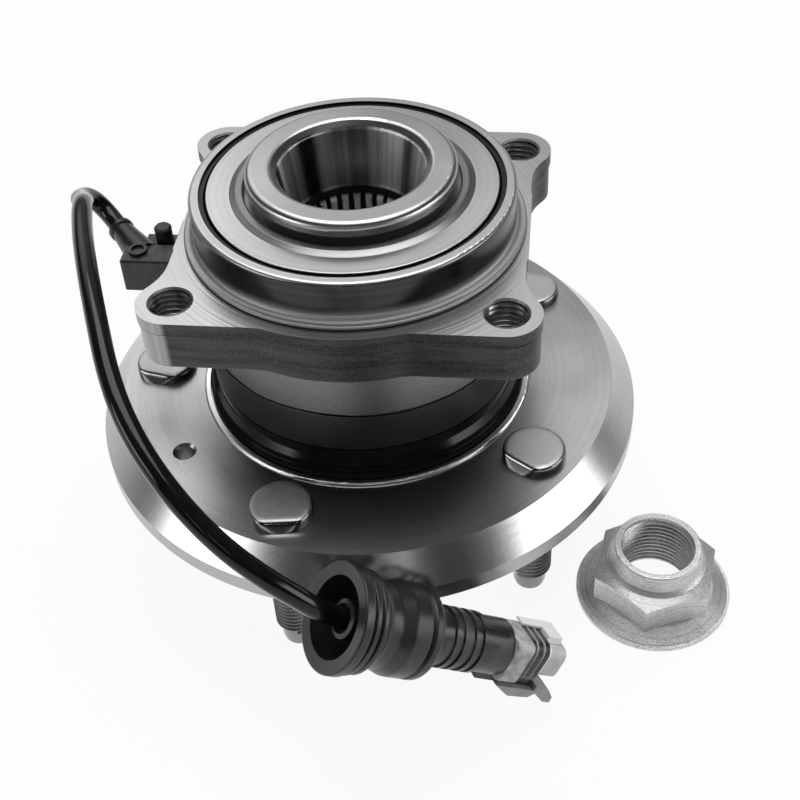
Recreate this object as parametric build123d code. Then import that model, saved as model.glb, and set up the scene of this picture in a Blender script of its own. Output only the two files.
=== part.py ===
from build123d import *
import math
import os

# Wheel hub bearing unit with wheel speed sensor, sensor lead and loose axle nut.
# Millimetres. The bearing axis is Z, inboard side up, and Z = 0 is the face
# that the wheel and the brake disc sit on. X and Y follow the knuckle bolts.

# Wheel studs
stud_count = 5
stud_circle_r = 57.5
first_stud_angle = -105.2
stud_r = 6.0
stud_knurl_r = stud_r + 0.4
stud_head_r = stud_r + 2.2
stud_head_height = 3.0
stud_head_flat = stud_head_r - 1.6
stud_head_edge = 0.9
stud_flat_tilt = 24.0
stud_length = 38.5
stud_tip_r = stud_r - 1.4
stud_tip_length = 6.4
stud_taper = 3.2
head_turns = (22.6, -91.4, 40.0, 150.0, 75.0)
disc_screw_r = 2.5
disc_screw_chamfer = 0.7

# Wheel flange
flange_edge = 17.8
wheel_flange_r = stud_circle_r + flange_edge
flange_thickness = 12.8
rim_height = 5.3
bevel_width = 6.7
edge_break = 0.5

# Axle nut
nut_thread_r = 10.2
nut_across_flats = 31.0
nut_flange_r = nut_across_flats / 2 + 6.0
nut_flange_edge = 1.6
nut_flange_top = 4.4
nut_hex_top = 12.6
nut_crown_rise = 0.8
nut_height = nut_hex_top + 6.9
nut_collar_r = nut_thread_r + 3.4
nut_collar_top_r = nut_thread_r + 1.8
nut_mouth = 1.4
nut_corner_angle = 20.5
nut_place = (83.1, -33.0)

# Wheel and disc pilots, with the recess for the axle nut
nut_room = 3.0
nut_recess_r = nut_flange_r + nut_room
wheel_pilot_r = 35.0
wheel_pilot_depth = 14.0
disc_pilot_step = 1.5
disc_pilot_r = wheel_pilot_r + disc_pilot_step
disc_pilot_depth = 7.0
nut_seat_z = 4.0

# Splined bore for the drive shaft
spline_teeth = 28
spline_major_r = 15.0
spline_depth = 1.3
spline_minor_r = spline_major_r - spline_depth

# Ball rows
ball_r = 5.6
ball_count = 13
ball_circle_r = 31.8
outboard_row_z = 33.0
row_spacing = 28.0
inboard_row_z = outboard_row_z + row_spacing
raceway_clearance = 0.22
inner_land_r = ball_circle_r - 0.8
low_shoulder_r = ball_circle_r - 4.4
outer_land_r = ball_circle_r + 2.2
outer_open_r = ball_circle_r + ball_r
cage_inner_r = ball_circle_r - 1.7
cage_outer_r = ball_circle_r + 1.7
cage_web = 1.4
cage_back = ball_r + cage_web
cage_front = 2.4
cage_pocket_clearance = 0.35

# Speed sensor probe and tone wheel, midway between the rows
probe_z = outboard_row_z + row_spacing / 2 + 1.0
probe_r = 5.5
probe_fit = 0.1
probe_air_gap = 0.9
tone_teeth = 36
tone_wall = 4.0
tone_outer_r = low_shoulder_r + tone_wall
tone_height = 7.0
tone_tooth_depth = 1.6

# Inner ring, held by the formed end of the spindle
ring_wall = 3.4
ring_gap = 0.5
inner_ring_bore_r = low_shoulder_r - ring_wall
inner_ring_start_z = probe_z + tone_height / 2 + ring_gap
inner_ring_rise = 15.2
inner_ring_end_z = inboard_row_z + inner_ring_rise
recess_depth = 2.0
recess_z = inner_ring_end_z - recess_depth
formed_end_r = low_shoulder_r - 0.6
formed_end_z = inner_ring_end_z + 5.4
bore_lip_r = formed_end_r - 6.4
bore_mouth_r = bore_lip_r - 1.9
spline_drop = 18.1
spline_top_z = formed_end_z - spline_drop
spline_lead_r = spline_major_r + 1.4

# Outer ring: seal seats, walls, bolting flange and spigot
seal_seat_step = 1.4
seal_seat_r = outer_open_r + seal_seat_step
seal_seat_depth = 5.5
body_wall = 3.2
body_r = seal_seat_r + body_wall
body_start_z = outboard_row_z - 11.0
machined_band_height = 12.0
machined_band_z = body_start_z + machined_band_height
rough_step = 0.4
bolt_flange_under_z = probe_z + 2.0
bolt_flange_thickness = 13.7
bolt_flange_top_z = bolt_flange_under_z + bolt_flange_thickness
parting_drop = 3.6
parting_step = 0.35
spigot_wall = 2.6
spigot_r = seal_seat_r + spigot_wall
spigot_end_z = inner_ring_end_z - 0.6
spigot_foot = 2.6
spigot_foot_height = 1.2
spigot_foot_fillet = 1.6
inboard_seat_z = inboard_row_z + 7.0
bolt_spacing_x = 2 * (body_r - 1.4)
bolt_spacing_y = 2 * (body_r - 7.0)
bolt_core_r = 5.2
bolt_chamfer = 0.5
lobe_wall = 3.4
lobe_r = bolt_core_r + lobe_wall
side_margin = 3.9
bulge_rise = 4.9
side_rise = 0.3
lobe_fillet_r = 16.0
bulge_fillet_r = 14.0
flange_half_x = bolt_spacing_x / 2 + side_margin
flange_half_y = bolt_spacing_y / 2 + lobe_r
flange_side_x = flange_half_x + side_rise

# Seals, with the ring on the hub that the outboard skirt runs inside
lip_gap = 0.3
skirt_tip_r = body_r + 2.0
skirt_top_r = body_r - 0.1
seal_ring_bore_r = skirt_tip_r + 0.4
seal_ring_width = 1.6
seal_ring_height = 0.8
seal_groove_depth = 0.6
seal_case_wall = 0.9
slinger_rim_gap = 0.6
seal_rim_wall = 1.2
seal_rim_drop = 0.5
slinger_outer_r = seal_seat_r - seal_rim_wall - slinger_rim_gap
slinger_thickness = 0.8
slinger_face_z = spigot_end_z - 0.2

# Sensor block, bracket and screw outside the outer ring
boss_r = probe_r + 4.1
sensor_length = 18.5
sensor_half_height = 4.8
sensor_front_y = -6.0
sensor_back_y = 2.2
bracket_thickness = 1.4
bracket_rise = 8.2
bracket_front_y = -10.0
bracket_crown_y = 2.0
bracket_tab_rise = 1.0
bracket_back = 9.5
tab_length = 14.5
tab_back = 7.5
sensor_screw_out = 8.9
sensor_screw_back = 3.7
sensor_screw_r = 2.35
sensor_screw_above = 5.6
screw_head_r = 3.0
screw_head_height = 2.6
sensor_top_z = probe_z + sensor_half_height
bracket_tab_z = probe_z + bracket_tab_rise
screw_x = -flange_side_x - sensor_screw_out
screw_y = sensor_back_y + sensor_screw_back

# Sensor lead: the whole lead is in view, from the boot to the grommet
lead_r = 2.6
boot_tip = (-flange_side_x - 22.8, 10.9, probe_z + 3.0)
boot_base = (-flange_side_x - 13.5, 0.5, probe_z + 1.3)
boot_tip_r = lead_r + 0.5
boot_base_r = boot_tip_r + 1.5
boot_lip = 0.4
boot_cap_r = 2.5

lead_points = [
    boot_tip,
    (-72.1, 16.5, 52.0),
    (-76.3, 16.3, 58.0),
    (-76.7, 8.9, 62.1),
    (-71.9, 2.1, 65.9),
    (-69.6, -5.5, 70.8),
    (-65.4, -18.8, 72.0),
    (-61.3, -30.0, 72.1),
    (-57.2, -40.7, 70.7),
    (-53.0, -51.1, 68.3),
    (-48.8, -61.4, 65.0),
    (-43.6, -71.1, 60.8),
    (-36.7, -79.8, 55.5),
    (-28.0, -87.1, 48.5),
    (-18.6, -91.8, 40.6),
    (-9.8, -93.4, 33.0),
    (-3.2, -93.3, 26.7),
    (1.7, -92.7, 21.2),
    (7.1, -90.6, 16.1),
]

# Grommet and connector share one axis, from the mouth of the grommet
plug_axis = (0.738, 0.324, -0.592)
plug_up = (0.552, 0.246, 0.797)
grommet_mouth = (3.9, -92.0, 18.7)
grommet_r = 13.4
grommet_wall = 3.5
grommet_waist = 3.0
grommet_rear_step = 1.8
grommet_length = 25.0
grommet_cavity = 11.0
grommet_tube_wall = 1.1
grommet_tube_room = 1.0
grommet_tube_start = 2.4
grommet_socket_depth = 2.0
grip_r = 7.2
plug_turn = -9.4
grip_length = 25.0
rib_height = 0.5
rib_width = 1.4
rib_offsets = (6.0, 8.7, 12.1, 14.8)
neck_side = 9.0
neck_corner = 2.0
neck_length = 12.7
seal_wall = 1.45
seal_length = 6.9
lock_side = 12.2
lock_shift = -1.0
lock_length = 5.4
nose_plate = 1.2
hood_wall = 2.0
hood_width = 6.7
hood_offset = 1.9
hood_length = 4.8
strip_width = 3.0
strip_offset = 3.7
cap_length = 6.7
fit_gap = 0.1
arm_height = 1.8
arm_width = 4.6
arm_offset = -1.1
arm_length = 18.5
arm_root = 4.0
latch_width = 8.0
grip_end = grommet_length + grip_length
neck_end = grip_end + neck_length
seal_side = neck_side + 2 * seal_wall
arm_low = -lock_side / 2 - 2 * fit_gap - arm_height

os.makedirs("parts", exist_ok=True)
placed = {}


def polar(radius, angle, height=0.0):
    """Point at a radius and an angle in degrees about the bearing axis."""
    a = math.radians(angle)
    return (radius * math.cos(a), radius * math.sin(a), height)


def turned(corners):
    """Solid of revolution about Z from (radius, height) corners; a third value rounds the corner."""
    outline = make_face(Polyline(*[corner[:2] for corner in corners], close=True))
    for radius, height, *rounding in corners:
        if rounding:
            vertex = outline.vertices().sort_by_distance((radius, height, 0))[0]
            outline = fillet(vertex, rounding[0])
    return revolve(Plane.XZ * outline, Axis.Z)


def keep(name, shape):
    """Write one piece to its own file and remember it."""
    placed[name] = shape
    export_step(shape, "parts/" + name + ".step")


def raceway(row_z):
    """Ring-shaped space that the balls of one row run in."""
    return Pos(0, 0, row_z) * Torus(ball_circle_r, ball_r + raceway_clearance)


def stud_angle(index):
    return first_stud_angle + 360.0 / stud_count * index


# Spindle with wheel flange: one forging, turned, then bored and splined.
def make_hub():
    face_z = flange_thickness
    groove_z = face_z - seal_groove_depth
    ring_r = seal_ring_bore_r + seal_ring_width
    profile = [
        (nut_recess_r, -wheel_pilot_depth),
        (wheel_pilot_r - disc_pilot_step, -wheel_pilot_depth),
        (wheel_pilot_r, -wheel_pilot_depth + disc_pilot_step),
        (wheel_pilot_r, -disc_pilot_depth),
        (disc_pilot_r, -disc_pilot_depth + 0.8),
        (disc_pilot_r, 0),
        (wheel_flange_r - edge_break, 0),
        (wheel_flange_r, edge_break),
        (wheel_flange_r, rim_height),
        (wheel_flange_r - bevel_width, face_z),
        (ring_r, face_z),
        (ring_r - 0.3, face_z + seal_ring_height, 0.5),
        (seal_ring_bore_r, face_z + seal_ring_height),
        (seal_ring_bore_r, groove_z),
        (inner_land_r + 4.5, groove_z),
        (inner_land_r + 1.4, groove_z + 1.4),
        (inner_land_r, groove_z + 4.5),
        (inner_land_r, outboard_row_z),
        (low_shoulder_r, outboard_row_z),
        (low_shoulder_r, inner_ring_start_z),
        (inner_ring_bore_r, inner_ring_start_z),
        (inner_ring_bore_r, recess_z),
        (formed_end_r - 1.8, recess_z),
        (formed_end_r - 1.8, formed_end_z - 4.5),
        (formed_end_r, formed_end_z - 3.4, 0.5),
        (formed_end_r, formed_end_z, 1.9),
        (bore_lip_r, formed_end_z, 1.2),
        (bore_mouth_r, formed_end_z - 1.8, 1.2),
        (spline_lead_r, spline_top_z + 0.9),
        (spline_major_r, spline_top_z - 0.8),
        (spline_minor_r, spline_top_z - 2.2),
        (spline_minor_r, nut_seat_z + spline_depth),
        (spline_major_r, nut_seat_z),
        (nut_recess_r - 0.8, nut_seat_z),
        (nut_recess_r, nut_seat_z - 0.8),
    ]
    hub = turned(profile) - raceway(outboard_row_z)
    pitch = 2 * math.pi * spline_minor_r / spline_teeth
    inside = spline_minor_r - spline_depth / 2
    space = Polyline(
        (inside, -0.29 * pitch),
        (spline_major_r, -0.19 * pitch),
        (spline_major_r, 0.19 * pitch),
        (inside, 0.29 * pitch),
        close=True,
    )
    spaces = Sketch() + PolarLocations(0, spline_teeth) * make_face(space)
    hub -= Pos(0, 0, nut_seat_z) * extrude(spaces, spline_top_z - nut_seat_z)
    for index in range(stud_count):
        x, y, z = polar(stud_circle_r, stud_angle(index))
        hub -= Pos(x, y, 0) * Cylinder(stud_knurl_r, face_z * 2)
    x, y, z = polar(stud_circle_r, first_stud_angle - 180 / stud_count)
    hub -= Pos(x, y, 0) * Cylinder(disc_screw_r, face_z * 3)
    sink = Cone(disc_screw_r, disc_screw_r + disc_screw_chamfer, disc_screw_chamfer)
    hub -= Pos(x, y, face_z - disc_screw_chamfer / 2) * sink
    return hub


# Wheel stud: D-cut head, knurled seat, thread and a dog point that starts the nut.
def make_stud(index):
    tip_z = -stud_length
    thread_end = tip_z + stud_tip_length
    face_z = flange_thickness
    head_z = face_z + stud_head_height
    body = turned([
        (0, tip_z),
        (stud_tip_r - 1.6, tip_z),
        (stud_tip_r - 0.4, tip_z + 0.9),
        (stud_tip_r, tip_z + 2.4),
        (stud_tip_r - 0.3, thread_end),
        (stud_r, thread_end + stud_taper),
        (stud_r, 0),
        (stud_knurl_r, stud_knurl_r - stud_r),
        (stud_knurl_r, face_z),
        (stud_head_r, face_z),
        (stud_head_r, head_z, stud_head_edge),
        (0, head_z),
    ])
    side = Pos(stud_head_flat, 0, head_z) * Rot(0, -stud_flat_tilt, 0) * Pos(stud_head_r, 0, 0)
    over_face = Pos(0, 0, head_z) * Box(4 * stud_head_r, 4 * stud_head_r, 2 * stud_head_height)
    body -= (side * Box(2 * stud_head_r, 4 * stud_head_r, 4 * stud_head_height)) & over_face
    turn = stud_angle(index) + head_turns[index % len(head_turns)]
    return Pos(*polar(stud_circle_r, stud_angle(index))) * Rot(0, 0, turn) * body


# Inner ring of the inboard row, pushed on to the spindle.
def make_inner_ring():
    recess_r = formed_end_r + 0.6
    ring = turned([
        (inner_ring_bore_r, inner_ring_start_z),
        (low_shoulder_r, inner_ring_start_z),
        (low_shoulder_r, inboard_row_z),
        (inner_land_r, inboard_row_z),
        (inner_land_r, slinger_face_z),
        (inner_land_r - 1.6, inner_ring_end_z, 0.6),
        (recess_r, inner_ring_end_z, 0.5),
        (recess_r, recess_z),
        (inner_ring_bore_r, recess_z),
    ])
    return ring - raceway(inboard_row_z)


# Flange outline seen from inboard: four round lobes, hollow sides and a bulge front and back.
def flange_outline(step):
    half_x = flange_half_x - step
    half_y = flange_half_y - step
    bulge_r = body_r + bulge_rise - step
    spots = GridLocations(bolt_spacing_x, bolt_spacing_y, 2, 2)
    shape = Rectangle(2 * half_x, bolt_spacing_y) + Rectangle(bolt_spacing_x, 2 * half_y)
    shape += Circle(bulge_r) & Rectangle(2 * (flange_side_x - step), 4 * bulge_r)
    shape += spots * Circle(lobe_r - step)
    reach = math.sqrt((lobe_r - step) ** 2 - (side_margin - step) ** 2)
    waist_y = bolt_spacing_y / 2 - reach
    waists = [v for v in shape.vertices() if abs(abs(v.Y) - waist_y) < 0.05]
    shape = fillet(waists, lobe_fillet_r)
    bulge_x = math.sqrt(bulge_r**2 - half_y**2)
    ends = [v for v in shape.vertices() if abs(abs(v.X) - bulge_x) < 0.05 and abs(v.Y) > half_y - 0.05]
    return fillet(ends, bulge_fillet_r)


def make_outer_ring():
    under_z = bolt_flange_under_z
    top_z = bolt_flange_top_z
    parting_z = top_z - parting_drop
    flange = Pos(0, 0, under_z) * extrude(flange_outline(parting_step), parting_z - under_z)
    flange += Pos(0, 0, parting_z) * extrude(flange_outline(0), parting_drop)
    rough_r = body_r - rough_step
    body = turned([
        (seal_seat_r, body_start_z),
        (body_r - 0.6, body_start_z),
        (body_r, body_start_z + 0.6),
        (body_r, machined_band_z),
        (rough_r, machined_band_z + rough_step),
        (rough_r, under_z - 3.0),
        (rough_r + 2.0, under_z),
        (rough_r + 2.0, top_z - 1.0),
        (spigot_r + spigot_foot, top_z - 1.0),
        (spigot_r + spigot_foot, top_z + spigot_foot_height, 0.6),
        (spigot_r, top_z + spigot_foot_height, spigot_foot_fillet),
        (spigot_r, spigot_end_z, 1.0),
        (seal_seat_r, spigot_end_z),
        (seal_seat_r, inboard_seat_z),
        (outer_open_r, inboard_seat_z),
        (outer_open_r, inboard_row_z),
        (outer_land_r, inboard_row_z),
        (outer_land_r, outboard_row_z),
        (outer_open_r, outboard_row_z),
        (outer_open_r, body_start_z + seal_seat_depth),
        (seal_seat_r, body_start_z + seal_seat_depth),
    ])
    boss_start = outer_open_r + raceway_clearance + 0.4
    boss = Pos(-(boss_start + flange_side_x) / 2, 0, probe_z) * Rot(0, 90, 0)
    flange += boss * Cylinder(boss_r, flange_side_x - boss_start)
    flange -= Cylinder(boss_start, 4 * formed_end_z)
    ring = body + flange
    ring -= raceway(inboard_row_z)
    ring -= raceway(outboard_row_z)
    sink = Cone(bolt_core_r, bolt_core_r + bolt_chamfer, bolt_chamfer)
    for spot in GridLocations(bolt_spacing_x, bolt_spacing_y, 2, 2):
        ring -= spot * Pos(0, 0, top_z) * Cylinder(bolt_core_r, 3 * bolt_flange_thickness)
        ring -= spot * Pos(0, 0, top_z - bolt_chamfer / 2) * sink
    drill = Pos(-flange_side_x, 0, probe_z) * Rot(0, 90, 0)
    return ring - drill * Cylinder(probe_r, 2 * (flange_side_x - low_shoulder_r))


# One row of balls, spaced evenly.
def make_balls(row_z):
    balls = []
    for index in range(ball_count):
        x, y, z = polar(ball_circle_r, 360.0 / ball_count * index, row_z)
        balls.append(Pos(x, y, z) * Sphere(ball_r))
    return Compound(balls)


# Snap cage: a ring with its back towards the other row and a pocket for each ball.
def make_cage(row_z, side):
    back = row_z + side * cage_back
    front = row_z - side * cage_front
    cage = turned([
        (cage_inner_r, back),
        (cage_outer_r, back),
        (cage_outer_r, front),
        (cage_inner_r, front),
    ])
    for index in range(ball_count):
        x, y, z = polar(ball_circle_r, 360.0 / ball_count * index, row_z)
        cage -= Pos(x, y, z) * Sphere(ball_r + cage_pocket_clearance)
    return cage


# Toothed ring that the sensor reads, pressed on the spindle between the rows.
def make_tone_wheel():
    start = probe_z - tone_height / 2
    ring = turned([
        (low_shoulder_r, start),
        (tone_outer_r, start),
        (tone_outer_r, start + tone_height),
        (low_shoulder_r, start + tone_height),
    ])
    width = math.pi * tone_outer_r / tone_teeth
    gap = Pos(tone_outer_r, 0, start + tone_height / 2) * Box(2 * tone_tooth_depth, width, tone_height)
    for spot in PolarLocations(0, tone_teeth):
        ring -= spot * gap
    return ring


# Outboard seal: steel case in the outer ring, rubber lips running on the hub.
def make_outboard_case():
    top = body_start_z + seal_seat_depth
    inside = seal_seat_r - seal_case_wall
    return turned([
        (inside, body_start_z - 0.2),
        (seal_seat_r, body_start_z - 0.2),
        (seal_seat_r, top),
        (inner_land_r + 2.2, top),
        (inner_land_r + 2.2, top - seal_case_wall),
        (inside, top - seal_case_wall),
    ])


def make_outboard_lips():
    top = body_start_z + seal_seat_depth - seal_case_wall
    inside = seal_seat_r - seal_case_wall
    tip_z = flange_thickness + 0.5
    return turned([
        (inside, top),
        (inner_land_r + 2.2, top),
        (inner_land_r + lip_gap, top - 0.6),
        (inner_land_r + lip_gap, top - 1.6),
        (inner_land_r + 2.6, top - 2.4),
        (inside - 1.0, top - 3.0),
        (inside - 1.0, body_start_z - 1.6),
        (seal_seat_r + 1.0, body_start_z - 2.4),
        (skirt_tip_r - 2.4, tip_z + 1.4),
        (skirt_tip_r - 1.0, tip_z),
        (skirt_tip_r, tip_z),
        (skirt_tip_r, tip_z + 1.2),
        (skirt_tip_r - 0.8, tip_z + 1.9),
        (skirt_tip_r - 0.5, tip_z + 2.6),
        (skirt_tip_r - 1.3, tip_z + 3.3),
        (skirt_tip_r - 1.0, tip_z + 4.0),
        (skirt_top_r, body_start_z - 3.0),
        (skirt_top_r, body_start_z),
        (seal_seat_r, body_start_z),
        (seal_seat_r, body_start_z - 0.2),
        (inside, body_start_z - 0.2),
    ])


# Inboard seal: rubber lips on the outer ring, steel slinger on the inner ring.
def make_inboard_seal():
    face = slinger_face_z
    sleeve_r = inner_land_r + slinger_thickness + lip_gap
    return turned([
        (seal_seat_r, inboard_seat_z),
        (seal_seat_r, face - seal_rim_drop),
        (seal_seat_r - seal_rim_wall, face - seal_rim_drop),
        (seal_seat_r - seal_rim_wall, face - 2.4),
        (sleeve_r + 3.3, face - 3.2),
        (sleeve_r, face - 4.4),
        (sleeve_r, face - 5.2),
        (sleeve_r + 1.5, inboard_seat_z + 0.8),
        (sleeve_r + 1.5, inboard_seat_z),
    ])


def make_slinger():
    face = slinger_face_z
    sleeve_r = inner_land_r + slinger_thickness
    return turned([
        (inner_land_r, inboard_seat_z + 0.6),
        (sleeve_r, inboard_seat_z + 0.6),
        (sleeve_r, face - slinger_thickness),
        (slinger_outer_r, face - slinger_thickness),
        (slinger_outer_r, face, 0.3),
        (inner_land_r, face),
    ])


# Sensor: a probe through the outer ring under a moulded block, held by a bracket.
boot_run = Vector(*boot_tip) - Vector(*boot_base)
boot_plane = Plane(origin=boot_base, z_dir=boot_run)
boot_length = boot_run.length


def boot_shape():
    """Tapered boot with a lip, and the round cap over its inner end."""
    cone = turned([
        (0, 0),
        (boot_base_r, 0),
        (boot_tip_r, boot_length - 1.6),
        (boot_tip_r + boot_lip, boot_length - 1.2),
        (boot_tip_r + boot_lip, boot_length),
        (0, boot_length),
    ])
    return boot_plane.location * cone


def make_sensor_body():
    depth = sensor_back_y - sensor_front_y
    block = Box(sensor_length, depth, 2 * sensor_half_height)
    block = fillet(block.edges().filter_by(Axis.Z), 0.8)
    block = chamfer(block.faces().sort_by(Axis.Z)[-1].edges(), 0.5)
    middle_y = (sensor_back_y + sensor_front_y) / 2
    block = Pos(-flange_side_x - sensor_length / 2, middle_y, probe_z) * block
    return block - boot_shape()


def make_boot():
    cap_x = boot_base[0] - 0.8
    cap_y = boot_base[1] - 2.0
    cap = Pos(cap_x, cap_y, sensor_top_z + 0.5) * Cylinder(boot_cap_r, 1.0)
    dimple = Pos(cap_x, cap_y, sensor_top_z + 1.0) * Cylinder(boot_cap_r - 0.8, 1.4)
    return boot_shape() + cap - dimple


def probe_groove(bore_r, width):
    """Ring-shaped space round the probe, where its O-ring lies."""
    spot = Pos(-flange_side_x + 3.0, 0, probe_z) * Rot(0, 90, 0)
    return spot * (Cylinder(probe_r + 1, width) - Cylinder(bore_r, width))


def make_probe():
    tip_x = tone_outer_r + probe_air_gap
    middle = -(flange_side_x + tip_x) / 2
    probe = Pos(middle, 0, probe_z) * Rot(0, 90, 0) * Cylinder(probe_r - probe_fit, flange_side_x - tip_x)
    return probe - probe_groove(probe_r - 1.5, 2.0)


def make_probe_seal():
    ring = Cylinder(probe_r - 0.05, 1.8) - Cylinder(probe_r - 1.5, 1.8)
    return Pos(-flange_side_x + 3.0, 0, probe_z) * Rot(0, 90, 0) * ring


def make_bracket():
    back_y = sensor_back_y + bracket_back
    crown_z = sensor_top_z + bracket_rise
    outline = make_face(Polyline(
        (bracket_front_y, sensor_top_z),
        (bracket_front_y, crown_z),
        (bracket_crown_y, crown_z),
        (back_y, sensor_top_z + 1.0),
        (back_y, bracket_tab_z),
        (sensor_back_y, bracket_tab_z),
        (sensor_back_y, sensor_top_z),
        close=True,
    ))
    crown = outline.vertices().group_by(Axis.Y)[-1]
    outline = fillet(crown, 2.0)
    wall = Pos(-flange_side_x, 0, 0) * extrude(Plane.YZ * outline, -bracket_thickness)
    tab_z = bracket_tab_z + bracket_thickness / 2
    tab = Pos(-flange_side_x - tab_length / 2, sensor_back_y + tab_back / 2, tab_z)
    wall += tab * Box(tab_length, tab_back, bracket_thickness)
    hole = Pos(screw_x, screw_y, bracket_tab_z) * Cylinder(sensor_screw_r, 10)
    return wall - hole - boot_shape()


def make_sensor_screw():
    shank = Pos(0, 0, sensor_screw_above / 2 + bracket_thickness / 2)
    shank = shank * Cylinder(sensor_screw_r, sensor_screw_above + bracket_thickness)
    shank = chamfer(shank.edges().sort_by(Axis.Z)[-1], 0.5)
    head = Pos(0, 0, -screw_head_height) * extrude(RegularPolygon(screw_head_r, 6), screw_head_height)
    return Pos(screw_x, screw_y, bracket_tab_z) * (shank + head)


# Sensor lead: straight runs joined by arcs as large as the runs allow.
plug_plane = Plane(origin=grommet_mouth, x_dir=Vector(*plug_up).cross(Vector(*plug_axis)), z_dir=plug_axis)
plug_spot = plug_plane.location * Rot(0, 0, plug_turn)


def make_lead():
    points = [Vector(*p) for p in lead_points]
    radii = []
    for before, corner, after in zip(points, points[1:], points[2:]):
        first = corner - before
        second = after - corner
        turn = math.radians(first.get_angle(second))
        shorter = min(first.length, second.length)
        radii.append(0.45 * shorter / math.tan(turn / 2))
    path = FilletPolyline(*points, radius=radii)
    start = Plane(origin=points[0], z_dir=points[1] - points[0])
    lead = sweep(start * Circle(lead_r), path=path)
    plain = math.pi * lead_r**2 * path.length
    print("lead radii", [round(r, 1) for r in radii])
    print("lead length", round(path.length, 1), "volume", round(lead.volume), "against", round(plain))
    return lead


# Grommet that seals the lead in a body panel: two flanges, ribs and an open mouth.
def make_grommet():
    hole_r = grommet_r - grommet_wall
    waist_r = grommet_r - grommet_waist
    rear_r = grommet_r - grommet_rear_step
    ridge = grommet_r - 0.6
    tube_bore_r = lead_r + grommet_tube_room
    tube_r = tube_bore_r + grommet_tube_wall
    floor = grommet_tube_start + grommet_socket_depth
    shape = turned([
        (hole_r, 0.3),
        (grommet_r, 0, 0.5),
        (grommet_r, 2.6, 0.5),
        (ridge - 0.9, 3.1),
        (ridge, 3.7, 0.4),
        (ridge, 4.9, 0.4),
        (ridge - 1.2, 5.5),
        (ridge - 0.4, 6.1, 0.4),
        (ridge - 0.4, 7.2, 0.6),
        (waist_r, 9.2, 2.4),
        (waist_r, 12.6, 2.8),
        (rear_r, 16.2, 2.4),
        (rear_r, grommet_length - 4.4, 0.5),
        (rear_r - 0.9, grommet_length - 3.7),
        (rear_r, grommet_length - 3.0, 0.5),
        (rear_r, grommet_length - 0.4, 1.4),
        (grip_r + 1.0, grommet_length),
        (0, grommet_length),
        (0, floor),
        (tube_bore_r, floor),
        (tube_bore_r, grommet_tube_start),
        (tube_r, grommet_tube_start + 0.3),
        (tube_r, grommet_cavity),
        (hole_r - 1.0, grommet_cavity),
        (hole_r, grommet_cavity - 2.0),
    ])
    return plug_spot * shape


# Connector: round ribbed grip, square neck and an arm; the pieces on the neck are separate.
def square_bar(side, corner, start, end):
    """Bar with rounded corners along the connector axis."""
    return Pos(0, 0, start) * extrude(RectangleRounded(side, side, corner), end - start)


def make_connector_housing():
    grip = Pos(0, 0, grommet_length + grip_length / 2) * Cylinder(grip_r, grip_length)
    for offset in rib_offsets:
        rib = Pos(0, 0, grommet_length + offset + rib_width / 2)
        grip += rib * Cylinder(grip_r + rib_height, rib_width)
    grip += square_bar(neck_side, neck_corner, grip_end, neck_end)
    arm_middle = grip_end - arm_root + arm_length / 2
    arm = Pos(arm_offset, arm_low + arm_height / 2, arm_middle)
    grip += arm * Box(arm_width, arm_height, arm_length)
    return plug_spot * grip


def make_lock():
    start = grip_end + fit_gap
    ring = Pos(lock_shift, 0, 0) * square_bar(lock_side, neck_corner, start, start + lock_length)
    ring -= square_bar(neck_side + 2 * fit_gap, neck_corner, start - 1, start + lock_length + 1)
    return plug_spot * ring


def make_connector_seal():
    start = grip_end + lock_length + 2 * fit_gap
    pitch = seal_length / 3
    ring = square_bar(seal_side - 1.6, 3.0, start, start + seal_length)
    for index in range(3):
        low = start + index * pitch
        ring += square_bar(seal_side, 3.2, low, low + pitch * 0.75)
    ring -= square_bar(neck_side, neck_corner, start - 1, start + seal_length + 1)
    return plug_spot * ring


# Nose: a plate on the end of the neck, a hood over the cap and a strip back over the seal.
def make_nose():
    hood_end = neck_end + hood_length
    hood_low = neck_side / 2 + fit_gap
    nose = square_bar(neck_side, neck_corner, neck_end, neck_end + nose_plate)
    web = Pos(hood_offset, (hood_low + hood_wall) / 2, neck_end + nose_plate / 2)
    nose += web * Box(hood_width, hood_low + hood_wall, nose_plate)
    hood = Pos(hood_offset, hood_low + hood_wall / 2, neck_end + hood_length / 2)
    nose += hood * Box(hood_width, hood_wall, hood_length)
    strip_low = seal_side / 2 + fit_gap
    strip_height = hood_low + hood_wall - strip_low
    strip_start = grip_end + lock_length + 4 * fit_gap
    strip = Pos(strip_offset, strip_low + strip_height / 2, (strip_start + hood_end) / 2)
    nose += strip * Box(strip_width, strip_height, hood_end - strip_start)
    return plug_spot * nose


def make_nose_cap():
    start = neck_end + nose_plate
    cap = square_bar(neck_side, 2.6, start, start + cap_length)
    cap = chamfer(cap.faces().sort_by(Axis.Z)[-1].edges(), 1.4)
    return plug_spot * cap


def make_latch():
    start = grip_end + 2.1
    lip = grip_end + 15.0
    end = grip_end + 22.3
    profile = Polyline(
        (arm_low, start),
        (arm_low, lip),
        (arm_low + 1.4, lip + 0.3),
        (arm_low + 1.0, end - 2.6),
        (arm_low - 1.2, end),
        (arm_low - 2.9, end),
        (arm_low - 2.9, end - 2.5),
        (arm_low - 0.8, end - 6.3),
        (arm_low - 2.3, end - 8.0),
        (arm_low - 2.7, start + 5.8),
        (arm_low - 2.2, start + 4.5),
        close=True,
    )
    face = make_face(Plane.YZ * profile)
    return plug_spot * (Pos(arm_offset, 0, 0) * extrude(face, latch_width / 2, both=True))


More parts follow.
